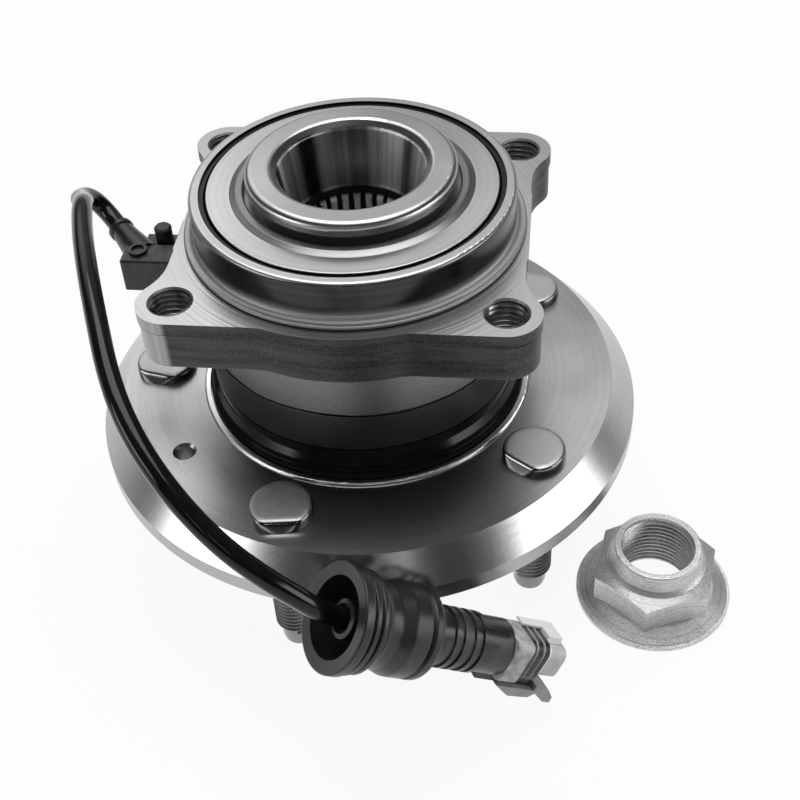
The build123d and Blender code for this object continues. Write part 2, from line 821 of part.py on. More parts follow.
# Flanged axle nut with a thin collar that is staked into the shaft groove.
def make_nut():
    flat = nut_across_flats / 2
    corner_r = flat / math.cos(math.radians(30))
    mouth_r = nut_thread_r + nut_mouth
    skirt = turned([
        (mouth_r, 0),
        (nut_flange_r - 0.4, 0),
        (nut_flange_r, 0.4),
        (nut_flange_r, nut_flange_edge),
        (nut_flange_r - 0.7, nut_flange_edge),
        (nut_flange_r - 0.9, nut_flange_edge + 0.5),
        (flat + 1.0, nut_flange_top),
        (nut_thread_r, nut_flange_top),
        (nut_thread_r, nut_mouth),
    ])
    hexagon = Rot(0, 0, nut_corner_angle) * extrude(RegularPolygon(corner_r, 6), nut_hex_top + 2)
    crown_z = nut_hex_top + nut_crown_rise
    crown = turned([
        (nut_thread_r, nut_flange_edge),
        (corner_r + 1.0, nut_flange_edge),
        (corner_r + 1.0, nut_hex_top - 1.4),
        (flat - 0.4, nut_hex_top + 0.2),
        (nut_collar_r, crown_z),
        (nut_thread_r, crown_z),
    ])
    collar = turned([
        (nut_thread_r, nut_hex_top),
        (nut_collar_r, nut_hex_top),
        (nut_collar_r, crown_z + 0.6, 0.3),
        (nut_collar_top_r + 0.6, crown_z + 1.4, 0.6),
        (nut_collar_top_r, nut_height, 0.5),
        (nut_thread_r, nut_height),
    ])
    nut = skirt + (hexagon & crown) + collar
    return Pos(nut_place[0], nut_place[1], -stud_length) * nut


keep("hub_flange", make_hub())
for stud in range(stud_count):
    keep("wheel_stud_" + str(stud + 1), make_stud(stud))
keep("inner_ring", make_inner_ring())
keep("outer_ring", make_outer_ring())
keep("outboard_balls", make_balls(outboard_row_z))
keep("inboard_balls", make_balls(inboard_row_z))
keep("outboard_cage", make_cage(outboard_row_z, 1))
keep("inboard_cage", make_cage(inboard_row_z, -1))
keep("tone_wheel", make_tone_wheel())
keep("outboard_seal_case", make_outboard_case())
keep("outboard_seal_lips", make_outboard_lips())
keep("inboard_seal", make_inboard_seal())
keep("inboard_slinger", make_slinger())
keep("sensor_body", make_sensor_body())
keep("sensor_probe", make_probe())
keep("sensor_probe_seal", make_probe_seal())
keep("sensor_bracket", make_bracket())
keep("sensor_screw", make_sensor_screw())
keep("lead_boot", make_boot())
keep("sensor_lead", make_lead())
keep("lead_grommet", make_grommet())
keep("connector_housing", make_connector_housing())
keep("connector_lock", make_lock())
keep("connector_seal", make_connector_seal())
keep("connector_nose", make_nose())
keep("connector_cap", make_nose_cap())
keep("connector_latch", make_latch())
keep("axle_nut", make_nut())

for name, shape in placed.items():
    size = shape.bounding_box().size
    print(name, len(shape.solids()), "solids", round(size.X, 1), round(size.Y, 1), round(size.Z, 1))
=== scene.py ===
import math

import bpy
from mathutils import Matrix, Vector


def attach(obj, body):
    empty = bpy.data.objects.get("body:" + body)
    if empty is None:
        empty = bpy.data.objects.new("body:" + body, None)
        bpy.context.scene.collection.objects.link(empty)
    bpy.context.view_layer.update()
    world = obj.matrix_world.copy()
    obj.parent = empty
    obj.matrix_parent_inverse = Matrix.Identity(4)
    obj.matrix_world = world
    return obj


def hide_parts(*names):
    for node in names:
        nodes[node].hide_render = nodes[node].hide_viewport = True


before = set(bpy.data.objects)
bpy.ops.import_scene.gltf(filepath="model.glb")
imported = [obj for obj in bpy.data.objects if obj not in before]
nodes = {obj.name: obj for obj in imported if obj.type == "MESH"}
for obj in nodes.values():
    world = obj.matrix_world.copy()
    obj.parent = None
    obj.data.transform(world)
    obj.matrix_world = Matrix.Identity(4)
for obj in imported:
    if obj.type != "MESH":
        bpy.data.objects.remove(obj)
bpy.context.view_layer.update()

# Sizes that the finishes and the added pieces share with the solids, in metres. Heights are above
# the face that the wheel sits on, and radii are from the axis of the bearing.
ground_height = -0.0385
stud_circle_radius = 0.0575
first_stud_angle = -105.2
stud_head_turns = (22.6, -91.4, 40.0, 150.0, 75.0)
rim_top = 0.0053
bevel_radius = 0.0686
flange_top = 0.0128
seal_ring_radius = 0.0460
spline_root_radius = 0.0150
spline_top = 0.0635
bore_radius = 0.0185
outer_ring_start = 0.0220
machined_band_top = 0.0340
bolt_flange_under = 0.0500
parting_height = 0.0600
bolt_flange_top = 0.0637
spigot_foot_radius = 0.0440
spigot_end = 0.0756
knuckle_hole_x, knuckle_hole_y = 0.0406, 0.0350
nut_centre = (0.0831, -0.0330)
thread_pitch = 0.0015

# Camera: looks down on the hub from the front, at the photograph's angle and distance.
camera_data = bpy.data.cameras.new("camera")
camera_data.sensor_width = 36.0
camera_data.lens = 59.1
camera_data.clip_start = 0.01
camera = bpy.data.objects.new("camera", camera_data)
camera.location = (0.0494, -0.2734, 0.2615)
camera.rotation_euler = [math.radians(angle) for angle in (46.616, 2.472, 6.108)]
bpy.context.scene.collection.objects.link(camera)
bpy.context.scene.camera = camera
bpy.context.scene.view_settings.view_transform = "Standard"


def add_node(tree, kind, **settings):
    """One shader node with its properties set."""
    node = tree.nodes.new(kind)
    for name, value in settings.items():
        setattr(node, name, value)
    return node


def feed(tree, target, value):
    """Gives an input its value: a plain one, or the socket of another node."""
    if isinstance(value, bpy.types.NodeSocket):
        tree.links.new(value, target)
    else:
        target.default_value = value


def calc(tree, operation, *values):
    """Sum, product or other result of sockets and plain numbers."""
    node = add_node(tree, "ShaderNodeMath", operation=operation)
    for target, value in zip(node.inputs, values):
        feed(tree, target, value)
    return node.outputs["Value"]


def faded(tree, value, start, end, low=0.0, high=1.0):
    """Smooth change from low to high while the value runs from start to end."""
    node = add_node(tree, "ShaderNodeMapRange", interpolation_type="SMOOTHSTEP")
    for name, level in (("From Min", start), ("From Max", end), ("To Min", low), ("To Max", high)):
        node.inputs[name].default_value = level
    tree.links.new(value, node.inputs["Value"])
    return node.outputs["Result"]


def blended(tree, share, first, second):
    """Colour between two greys or two sockets, by a share from 0 to 1."""
    node = add_node(tree, "ShaderNodeMix", data_type="RGBA")
    tree.links.new(share, node.inputs["Factor"])
    # The colours of a Mix node are its inputs 6 and 7 and its output 2.
    for slot, value in ((6, first), (7, second)):
        is_socket = isinstance(value, bpy.types.NodeSocket)
        feed(tree, node.inputs[slot], value if is_socket else (value, value, value, 1.0))
    return node.outputs[2]


def normal_height(tree):
    """How far a face looks up, from -1 to 1."""
    split = add_node(tree, "ShaderNodeSeparateXYZ")
    tree.links.new(add_node(tree, "ShaderNodeTexCoord").outputs["Normal"], split.inputs["Vector"])
    return split.outputs["Z"]


def raised(tree, shader, height, strength, distance):
    """Bump on the finish from a height between 0 and 1."""
    bump = add_node(tree, "ShaderNodeBump")
    bump.inputs["Strength"].default_value = strength
    bump.inputs["Distance"].default_value = distance
    tree.links.new(height, bump.inputs["Height"])
    tree.links.new(bump.outputs["Normal"], shader.inputs["Normal"])


def turned_gloss(tree, shader, amount):
    """Light drawn out across the rings of a turned face."""
    shader.inputs["Anisotropic"].default_value = amount
    across = add_node(tree, "ShaderNodeTangent", direction_type="RADIAL", axis="Z")
    tree.links.new(across.outputs["Tangent"], shader.inputs["Tangent"])


def effect_called(name, inputs, outputs):
    """A node group that several finishes place, with its input and output nodes."""
    effect = bpy.data.node_groups.new(name, "ShaderNodeTree")
    for socket_name, usual in inputs.items():
        kind = "NodeSocketVector" if isinstance(usual, tuple) else "NodeSocketFloat"
        socket = effect.interface.new_socket(name=socket_name, in_out="INPUT", socket_type=kind)
        socket.default_value = usual
    for socket_name in outputs:
        effect.interface.new_socket(name=socket_name, in_out="OUTPUT", socket_type="NodeSocketFloat")
    return effect, add_node(effect, "NodeGroupInput"), add_node(effect, "NodeGroupOutput")


def grain_group():
    """Effect: grain on the piece's own coordinates."""
    inputs = {"Scale": 500.0, "Detail": 4.0, "Stretch": (1, 1, 1)}
    effect, given, result = effect_called("grain", inputs, ["Grain"])
    place = add_node(effect, "ShaderNodeTexCoord")
    mapping = add_node(effect, "ShaderNodeMapping")
    noise = add_node(effect, "ShaderNodeTexNoise")
    effect.links.new(place.outputs["Object"], mapping.inputs["Vector"])
    effect.links.new(given.outputs["Stretch"], mapping.inputs["Scale"])
    effect.links.new(mapping.outputs["Vector"], noise.inputs["Vector"])
    effect.links.new(given.outputs["Scale"], noise.inputs["Scale"])
    effect.links.new(given.outputs["Detail"], noise.inputs["Detail"])
    effect.links.new(noise.outputs["Fac"], result.inputs["Grain"])
    return effect


def round_axis_group():
    """Effect: a point's distance from an upright axis, its turns round it, and its height."""
    inputs = {"Centre X": 0.0, "Centre Y": 0.0}
    effect, given, result = effect_called("place_round_axis", inputs, ["Radius", "Turns", "Height"])
    place = add_node(effect, "ShaderNodeTexCoord")
    split = add_node(effect, "ShaderNodeSeparateXYZ")
    effect.links.new(place.outputs["Object"], split.inputs["Vector"])
    x = calc(effect, "SUBTRACT", split.outputs["X"], given.outputs["Centre X"])
    y = calc(effect, "SUBTRACT", split.outputs["Y"], given.outputs["Centre Y"])
    squares = calc(effect, "ADD", calc(effect, "MULTIPLY", x, x), calc(effect, "MULTIPLY", y, y))
    turns = calc(effect, "DIVIDE", calc(effect, "ARCTAN2", y, x), 2 * math.pi)
    effect.links.new(calc(effect, "SQRT", squares), result.inputs["Radius"])
    effect.links.new(turns, result.inputs["Turns"])
    effect.links.new(split.outputs["Z"], result.inputs["Height"])
    return effect


def rings_group():
    """Effect: noise along one value only."""
    inputs = {"Along": 0.0, "Scale": 900.0, "Detail": 2.0}
    effect, given, result = effect_called("turning_rings", inputs, ["Rings"])
    noise = add_node(effect, "ShaderNodeTexNoise", noise_dimensions="1D")
    effect.links.new(given.outputs["Along"], noise.inputs["W"])
    effect.links.new(given.outputs["Scale"], noise.inputs["Scale"])
    effect.links.new(given.outputs["Detail"], noise.inputs["Detail"])
    effect.links.new(noise.outputs["Fac"], result.inputs["Rings"])
    return effect


grain_effect = grain_group()
round_axis_effect = round_axis_group()
rings_effect = rings_group()


def placed(tree, effect, values):
    """One use of an effect in a finish, with its inputs fed; gives its outputs."""
    node = add_node(tree, "ShaderNodeGroup", node_tree=effect)
    for name, value in values.items():
        feed(tree, node.inputs[name], value)
    return node.outputs


def grain(tree, scale, detail=4.0, stretch=(1, 1, 1)):
    """Grain of a finish; stretch squeezes it along an axis."""
    values = {"Scale": scale, "Detail": detail, "Stretch": stretch}
    return placed(tree, grain_effect, values)["Grain"]


def axis_place(tree, centre=(0.0, 0.0)):
    """Sockets Radius, Turns and Height of a point, round an upright axis through the centre."""
    return placed(tree, round_axis_effect, {"Centre X": centre[0], "Centre Y": centre[1]})


def rings(tree, along, scale, detail=2.0):
    """Noise in one direction only, such as the rings that a lathe leaves."""
    values = {"Along": along, "Scale": scale, "Detail": detail}
    return placed(tree, rings_effect, values)["Rings"]


def finish_called(name, metallic=0.0, roughness=0.5, specular=0.5):
    """A new material with its node tree and its shader, for one finish."""
    finish = bpy.data.materials.new(name)
    finish.use_nodes = True
    shader = finish.node_tree.nodes["Principled BSDF"]
    shader.inputs["Metallic"].default_value = metallic
    shader.inputs["Roughness"].default_value = roughness
    shader.inputs["Specular IOR Level"].default_value = specular
    return finish, finish.node_tree, shader


def speckled(name, scale, dark, light, detail=4.0, relief=0.0, **gloss):
    """A plain finish: grain between two greys, raised a little where relief is given."""
    finish, tree, shader = finish_called(name, **gloss)
    specks = grain(tree, scale, detail)
    tree.links.new(blended(tree, specks, dark, light), shader.inputs["Base Color"])
    if relief:
        raised(tree, shader, specks, relief, 0.0001)
    return finish


def dress(piece, finish):
    """Gives a piece its finish in every slot."""
    if not piece.data.materials:
        piece.data.materials.append(finish)
    for index in range(len(piece.data.materials)):
        piece.data.materials[index] = finish


# Sensor lead: a black rubber jacket on one smooth line, from the boot on the sensor up past the
# bolting flange and down to the grommet. The whole lead is in view, so it has no more length.
lead_route = [
    (-0.0676, 0.0109, 0.0510),
    (-0.0721, 0.0165, 0.0520),
    (-0.0763, 0.0163, 0.0580),
    (-0.0767, 0.0089, 0.0621),
    (-0.0719, 0.0021, 0.0659),
    (-0.0696, -0.0055, 0.0708),
    (-0.0654, -0.0188, 0.0720),
    (-0.0613, -0.0300, 0.0721),
    (-0.0572, -0.0407, 0.0707),
    (-0.0530, -0.0511, 0.0683),
    (-0.0488, -0.0614, 0.0650),
    (-0.0436, -0.0711, 0.0608),
    (-0.0367, -0.0798, 0.0555),
    (-0.0280, -0.0871, 0.0485),
    (-0.0186, -0.0918, 0.0406),
    (-0.0098, -0.0934, 0.0330),
    (-0.0032, -0.0933, 0.0267),
    (0.0017, -0.0927, 0.0212),
    (0.0071, -0.0906, 0.0161),
]
lead_radius = 0.0026
lead_curve = bpy.data.curves.new("sensor_lead_jacket", "CURVE")
lead_curve.dimensions = "3D"
lead_curve.bevel_depth = lead_radius
lead_curve.bevel_resolution = 6
lead_curve.resolution_u = 10
lead_curve.use_fill_caps = True
lead_line = lead_curve.splines.new("NURBS")
lead_line.points.add(len(lead_route) - 1)
for point, place in zip(lead_line.points, lead_route):
    point.co = (*place, 1.0)
lead_line.order_u = 3
lead_line.use_endpoint_u = True
lead = bpy.data.objects.new("sensor_lead_jacket", lead_curve)
bpy.context.scene.collection.objects.link(lead)

jacket, tree, shader = finish_called("lead_jacket_rubber", specular=0.30)
scuffs = grain(tree, 260.0)
tree.links.new(blended(tree, scuffs, 0.003, 0.009), shader.inputs["Base Color"])
tree.links.new(faded(tree, scuffs, 0.35, 0.65, 0.08, 0.15), shader.inputs["Roughness"])
raised(tree, shader, grain(tree, 1500.0), 0.10, 0.0001)
dress(lead, jacket)
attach(lead, "housing")
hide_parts("sensor_lead")

# Floor: plain white paper that the studs, the nut and the connector stand on. Light falls on it
# as on paper, but the camera and the mirroring faces see it as almost evenly white.
bpy.ops.object.select_all(action="DESELECT")
bpy.ops.mesh.primitive_plane_add(size=16.0, location=(0, 0, ground_height))
floor = bpy.context.object
floor.name = "floor"
paper, tree, shader = finish_called("white_paper", roughness=0.9, specular=0.1)
shader.inputs["Base Color"].default_value = (0.88, 0.88, 0.88, 1.0)
glow = add_node(tree, "ShaderNodeEmission")
glow.inputs["Strength"].default_value = 1.0
path = add_node(tree, "ShaderNodeLightPath")
seen = calc(tree, "MAXIMUM", path.outputs["Is Camera Ray"], path.outputs["Is Glossy Ray"])
seen = calc(tree, "MAXIMUM", seen, path.outputs["Is Transmission Ray"])
glow_share = 0.92
mixed = add_node(tree, "ShaderNodeMixShader")
tree.links.new(calc(tree, "MULTIPLY", seen, glow_share), mixed.inputs["Fac"])
tree.links.new(shader.outputs["BSDF"], mixed.inputs[1])
tree.links.new(glow.outputs["Emission"], mixed.inputs[2])
tree.links.new(mixed.outputs["Shader"], tree.nodes["Material Output"].inputs["Surface"])
floor.data.materials.append(paper)

# Studio: low soft boxes left and right with two narrow strips between them, which streak the
# turned faces, and a wide one overhead for the paper.
studio_middle = Vector((0, 0, 0.04))


def soft_box(name, azimuth, elevation, distance, size, brightness):
    """Soft box that looks at the middle of the studio; brightness 1 is paper white."""
    around, up = math.radians(azimuth), math.radians(elevation)
    outward = math.cos(up)
    direction = Vector((outward * math.cos(around), outward * math.sin(around), math.sin(up)))
    lamp_data = bpy.data.lights.new(name, "AREA")
    lamp_data.shape = "RECTANGLE"
    lamp_data.size, lamp_data.size_y = size
    lamp_data.energy = brightness * math.pi * size[0] * size[1]
    lamp = bpy.data.objects.new(name, lamp_data)
    lamp.location = studio_middle + direction * distance
    lamp.rotation_euler = direction.to_track_quat("Z", "Y").to_euler()
    bpy.context.scene.collection.objects.link(lamp)


soft_box("left_box", 212, 17, 0.9, (0.50, 0.24), 4.8)
soft_box("right_box", 350, 15, 0.9, (0.60, 0.26), 4.5)
soft_box("left_strip", 266, 28, 0.9, (0.03, 0.22), 4.0)
soft_box("right_strip", 287, 29, 0.9, (0.04, 0.22), 3.0)
soft_box("overhead_box", 80, 80, 1.2, (1.1, 0.9), 3.6)

# Room: pale walls low down that darken upward and toward the camera's side, and two reflectors
# behind the hub that its flat faces mirror. The camera itself sees plain white. A reflector has
# the direction of its middle, the cosine at which it begins, and its brightness.
reflectors = (
    ((-0.129, 0.732, 0.669), 0.70, 0.44),
    ((-0.433, 0.618, 0.656), 0.90, 1.00),
)
world = bpy.data.worlds.new("studio_room")
world.use_nodes = True
bpy.context.scene.world = world
tree = world.node_tree
background = tree.nodes["Background"]
direction = add_node(tree, "ShaderNodeTexCoord").outputs["Generated"]
split = add_node(tree, "ShaderNodeSeparateXYZ")
tree.links.new(direction, split.inputs["Vector"])
walls = faded(tree, split.outputs["Z"], -0.02, 0.15, 0.85, 0.06)
level = calc(tree, "MULTIPLY", walls, faded(tree, split.outputs["Y"], -0.75, -0.20, 0.20, 1.0))
for middle, edge_cosine, brightness in reflectors:
    toward = add_node(tree, "ShaderNodeVectorMath", operation="DOT_PRODUCT")
    toward.inputs[1].default_value = middle
    tree.links.new(direction, toward.inputs[0])
    reflector = faded(tree, toward.outputs["Value"], edge_cosine, 0.99, 0.0, brightness)
    level = calc(tree, "ADD", level, reflector)
camera_white = 0.98
camera_ray = add_node(tree, "ShaderNodeLightPath").outputs["Is Camera Ray"]
seen = calc(tree, "MULTIPLY", camera_ray, camera_white)
tree.links.new(calc(tree, "MAXIMUM", level, seen), background.inputs["Color"])
background.inputs["Strength"].default_value = 1.0

# Hub: one steel forging, turned all over, with the end of its spindle rolled over the inner
# ring. The flange keeps fine rings from the lathe. The bore has fine drawn marks, with painted
# glints in bright bands above its spline, and the spline has painted highlights on its teeth and
# painted shade between them.
forging, tree, shader = finish_called("turned_forging", metallic=1.0)
place = axis_place(tree)
radius, height = place["Radius"], place["Height"]
lathe = rings(tree, radius, 800.0, 1.0)
cloud = grain(tree, 45.0, 2.0)
tone = blended(tree, cloud, 0.40, 0.50)
tone = blended(tree, faded(tree, lathe, 0.3, 0.7, 0.0, 0.25), tone, 0.34)

# The ring round the seal and what lies inside it, up to the outer ring, is ground steel painted very
# light grey, as a painted highlight.
above_flange = faded(tree, height, flange_top, flange_top + 0.0004)
inside_ring = faded(tree, radius, seal_ring_radius + 0.0020, seal_ring_radius + 0.0010)
under_seal = faded(tree, height, outer_ring_start + 0.0080, outer_ring_start - 0.0020)
lip_highlight = calc(tree, "MULTIPLY", above_flange, inside_ring)
tone = blended(tree, calc(tree, "MULTIPLY", lip_highlight, under_seal), tone, 0.85)

# Painted glints: bright bands round the bore on a near-black ground. On the spline, a painted
# highlight on the teeth and painted shade at their roots.
in_bore = faded(tree, radius, bore_radius + 0.0007, bore_radius - 0.0001)
glint_bands = faded(tree, rings(tree, place["Turns"], 9.0, 1.0), 0.34, 0.66)
drawn = rings(tree, place["Turns"], 60.0, 2.0)
painted_glints = calc(tree, "MULTIPLY", glint_bands, faded(tree, drawn, 0.2, 0.7, 0.6, 1.0))
bore_painted_light = blended(tree, painted_glints, 0.03, 1.0)
in_spline = faded(tree, height, spline_top + 0.0005, spline_top + 0.0001)
on_tooth = faded(tree, radius, spline_root_radius - 0.0002, spline_root_radius - 0.0009)
bore_painted_light = blended(tree, in_spline, bore_painted_light, blended(tree, on_tooth, 0.03, 0.95))
tree.links.new(blended(tree, in_bore, tone, bore_painted_light), shader.inputs["Base Color"])

past_bevel = faded(tree, radius, bevel_radius - 0.0002, bevel_radius + 0.0002)
above_rim = faded(tree, height, rim_top - 0.0003, rim_top + 0.0002)
on_bevel = calc(tree, "MULTIPLY", past_bevel, above_rim)
satin = blended(tree, on_bevel, faded(tree, cloud, 0.3, 0.7, 0.26, 0.32), 0.22)
roughness = blended(tree, in_bore, satin, blended(tree, glint_bands, 0.25, 0.60))
tree.links.new(roughness, shader.inputs["Roughness"])
raised(tree, shader, blended(tree, in_bore, lathe, drawn), 0.05, 0.0002)
turned_gloss(tree, shader, 0.6)
dress(nodes["hub_flange"], forging)


# Turned and threaded pieces: a line is drawn beside the upright axis, spun or wound round it,
# and the piece is then stood in its place.
def traced(name, corners):
    """New object with one open line through (radius, height) corners, drawn beside the axis."""
    # A small plane merged to its middle gives the first point, which the rest is drawn from.
    bpy.ops.object.select_all(action="DESELECT")
    bpy.ops.mesh.primitive_plane_add(size=0.001)
    piece = bpy.context.object
    piece.name = name
    bpy.ops.object.mode_set(mode="EDIT")
    bpy.ops.mesh.select_all(action="SELECT")
    bpy.ops.mesh.merge(type="CENTER")
    radius, height = corners[0]
    bpy.ops.transform.translate(value=(radius, 0, height))
    for next_radius, next_height in corners[1:]:
        step = (next_radius - radius, 0, next_height - height)
        bpy.ops.mesh.extrude_region_move(TRANSFORM_OT_translate={"value": step})
        radius, height = next_radius, next_height
    bpy.ops.object.mode_set(mode="OBJECT")
    return piece


def lathed(name, corners):
    """Turned solid: the line spun all the way round the upright axis."""
    piece = traced(name, corners)
    bpy.ops.object.mode_set(mode="EDIT")
    bpy.ops.mesh.select_all(action="SELECT")
    bpy.ops.mesh.spin(steps=64, angle=2 * math.pi, center=(0, 0, 0), axis=(0, 0, 1))
    bpy.ops.mesh.select_all(action="SELECT")
    bpy.ops.mesh.remove_doubles(threshold=0.000001)
    bpy.ops.mesh.normals_make_consistent(inside=False)
    bpy.ops.object.mode_set(mode="OBJECT")
    return piece


def wound(name, root, crest, bottom, pitch, turns):
    """Thread of metric form: the line of one turn, wound upward."""
    quarter = pitch / 4
    piece = traced(name, [
        (root, bottom),
        (crest, bottom + 1.5 * quarter),
        (crest, bottom + 2.0 * quarter),
        (root, bottom + 3.5 * quarter),
        (root, bottom + pitch),
    ])
    screw = piece.modifiers.new("screw", "SCREW")
    screw.screw_offset = pitch
    screw.iterations = turns
    screw.steps = 48
    screw.render_steps = 48
    screw.use_merge_vertices = True
    screw.merge_threshold = 0.000001
    bpy.ops.object.modifier_apply(modifier=screw.name)
    bpy.ops.object.mode_set(mode="EDIT")
    bpy.ops.mesh.select_all(action="SELECT")
    bpy.ops.mesh.normals_make_consistent(inside=crest < root)
    bpy.ops.object.mode_set(mode="OBJECT")
    return piece


def stood(piece, x, y, turn=0.0):
    """Moves a finished piece to its place, turned in degrees, and smooths its round faces."""
    bpy.ops.object.select_all(action="DESELECT")
    piece.select_set(True)
    bpy.context.view_layer.objects.active = piece
    piece.location = (x, y, 0)
    piece.rotation_euler = (0, 0, math.radians(turn))
    bpy.ops.object.transform_apply(location=True, rotation=True, scale=True)
    bpy.ops.object.shade_smooth_by_angle(angle=math.radians(32))


# Wheel studs: cold-headed and zinc-plated, pressed in from behind. The thread is rolled, and the
# head is rounded over and cut slanting on one side to clear the outer ring.
shank_radius, thread_radius, knurl_radius = 0.0052, 0.0060, 0.0064
head_radius, head_depth = 0.0083, 0.0050
head_cut_place, head_cut_facing = (0.0063, 0, 0.0158), (0.891, 0, 0.454)
stud = lathed("stud", [
    (0.0, ground_height),
    (0.0030, ground_height),
    (0.0042, ground_height + 0.0009),
    (0.0046, ground_height + 0.0024),
    (0.0043, ground_height + 0.0064),
    (shank_radius, ground_height + 0.0073),
    (shank_radius, -0.0008),
    (knurl_radius, 0.0004),
    (knurl_radius, 0.0120),
])
thread = wound(
    "thread",
    root=shank_radius - 0.0001,
    crest=thread_radius,
    bottom=ground_height + 0.0068,
    pitch=thread_pitch,
    turns=20,
)
bpy.ops.object.select_all(action="DESELECT")
bpy.ops.mesh.primitive_cylinder_add(
    vertices=96, radius=head_radius, depth=head_depth, location=(0, 0, flange_top + 0.0006)
)
head = bpy.context.object
bpy.ops.object.mode_set(mode="EDIT")
bpy.ops.mesh.select_all(action="SELECT")
bpy.ops.mesh.bisect(
    plane_co=head_cut_place, plane_no=head_cut_facing, use_fill=True, clear_outer=True
)
bpy.ops.object.mode_set(mode="OBJECT")
recast = head.modifiers.new("recast", "REMESH")
recast.mode = "VOXEL"
recast.voxel_size = 0.0003
rounding = head.modifiers.new("rounding", "SMOOTH")
rounding.iterations = 60
for modifier in (recast, rounding):
    bpy.ops.object.modifier_apply(modifier=modifier.name)
thread.select_set(True)
stud.select_set(True)
bpy.context.view_layer.objects.active = stud
bpy.ops.object.join()

plated, tree, shader = finish_called("stud_plating", metallic=1.0)
haze = grain(tree, 700.0)
# The tops of the heads are smoother, and their lighter grey is painted light from above.
lit_tops = faded(tree, normal_height(tree), 0.75, 0.95)
tone = blended(tree, lit_tops, blended(tree, haze, 0.20, 0.28), 0.46)
roughness = blended(tree, lit_tops, 0.16, faded(tree, haze, 0.3, 0.7, 0.38, 0.44))
tree.links.new(tone, shader.inputs["Base Color"])
tree.links.new(roughness, shader.inputs["Roughness"])
dress(stud, plated)
for index, head_turn in enumerate(stud_head_turns):
    number = str(index + 1)
    angle = first_stud_angle + 360 / len(stud_head_turns) * index
    x = stud_circle_radius * math.cos(math.radians(angle))
    y = stud_circle_radius * math.sin(math.radians(angle))
    fitted = stud.copy()
    fitted.data = stud.data.copy()
    fitted.name = "stud_" + number
    bpy.context.scene.collection.objects.link(fitted)
    stood(fitted, x, y, angle + head_turn)
    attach(fitted, "hub")
    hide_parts("wheel_stud_" + number)
bpy.data.objects.remove(stud)

# Inner ring: hardened bearing steel with fine grinding rings. Its end face shows round the
# rolled end of the spindle.
ground, tree, shader = finish_called("ground_bearing_steel", metallic=1.0, roughness=0.32)
wheel_marks = rings(tree, axis_place(tree)["Radius"], 900.0, 1.0)
tree.links.new(blended(tree, wheel_marks, 0.18, 0.32), shader.inputs["Base Color"])
raised(tree, shader, wheel_marks, 0.08, 0.0001)
dress(nodes["inner_ring"], ground)

# Outer ring: one forging with dark scale on its sides, milled on the bolting face and turned
# on the spigot, with cut threads in the four holes.
scaled, tree, shader = finish_called("forged_and_milled_ring", metallic=1.0)
place = axis_place(tree)
radius, height = place["Radius"], place["Height"]

# The milled faces look up: the bolting face outside the foot of the spigot, and the spigot's end.
faces_up = faded(tree, normal_height(tree), 0.35, 0.75)
high_up = faded(tree, height, bolt_flange_under + 0.0050, bolt_flange_under + 0.0100)
past_foot = faded(tree, radius, spigot_foot_radius - 0.0001, spigot_foot_radius + 0.0001)
at_end = faded(tree, height, spigot_end - 0.0016, spigot_end - 0.0006)
machined = calc(tree, "MULTIPLY", faces_up, high_up)
machined = calc(tree, "MULTIPLY", machined, calc(tree, "MAXIMUM", past_foot, at_end))

# The forged sides: a dark machined band below, a rough body, and flow lines on the flange.
skin = grain(tree, 1500.0)
flow = grain(tree, 160.0, 6.0, (0.25, 0.25, 3.0))
above_band = faded(tree, height, machined_band_top - 0.0004, machined_band_top + 0.0006)
on_flange = faded(tree, height, bolt_flange_under - 0.0004, bolt_flange_under + 0.0004)
band_tone, rough_tone = blended(tree, skin, 0.05, 0.08), blended(tree, skin, 0.16, 0.28)
body_tone = blended(tree, above_band, band_tone, rough_tone)
flow_tone = blended(tree, faded(tree, flow, 0.30, 0.70), 0.032, 0.070)
flow_tone = blended(tree, faded(tree, skin, 0.40, 0.80, 0.0, 0.4), flow_tone, 0.12)
scale_tone = blended(tree, on_flange, body_tone, flow_tone)

# A paler patch with a swirl of the forging, at the left front corner of the flange. Its paleness is
# a painted highlight on the corner.
corner = axis_place(tree, (-0.0480, -0.0410))
spiral = calc(tree, "ADD", corner["Radius"], calc(tree, "MULTIPLY", corner["Turns"], 0.003))
swirl = rings(tree, spiral, 900.0)
corner_highlight = calc(tree, "MULTIPLY", faded(tree, corner["Radius"], 0.0085, 0.0065), on_flange)
scale_tone = blended(tree, corner_highlight, scale_tone, blended(tree, swirl, 0.18, 0.50))

# Dark lines that wander a little in height: over the machined band, and where the dies parted.
wander = 0.0012
for line_height, line_grey in ((machined_band_top + 0.0002, 0.008), (parting_height, 0.020)):
    drift = calc(tree, "MULTIPLY", grain(tree, 30.0, 5.0), wander)
    off_line = calc(tree, "SUBTRACT", calc(tree, "ADD", height, drift), line_height + wander / 2)
    past_line = faded(tree, calc(tree, "ABSOLUTE", off_line), 0.00010, 0.00026)
    scale_tone = blended(tree, past_line, line_grey, scale_tone)

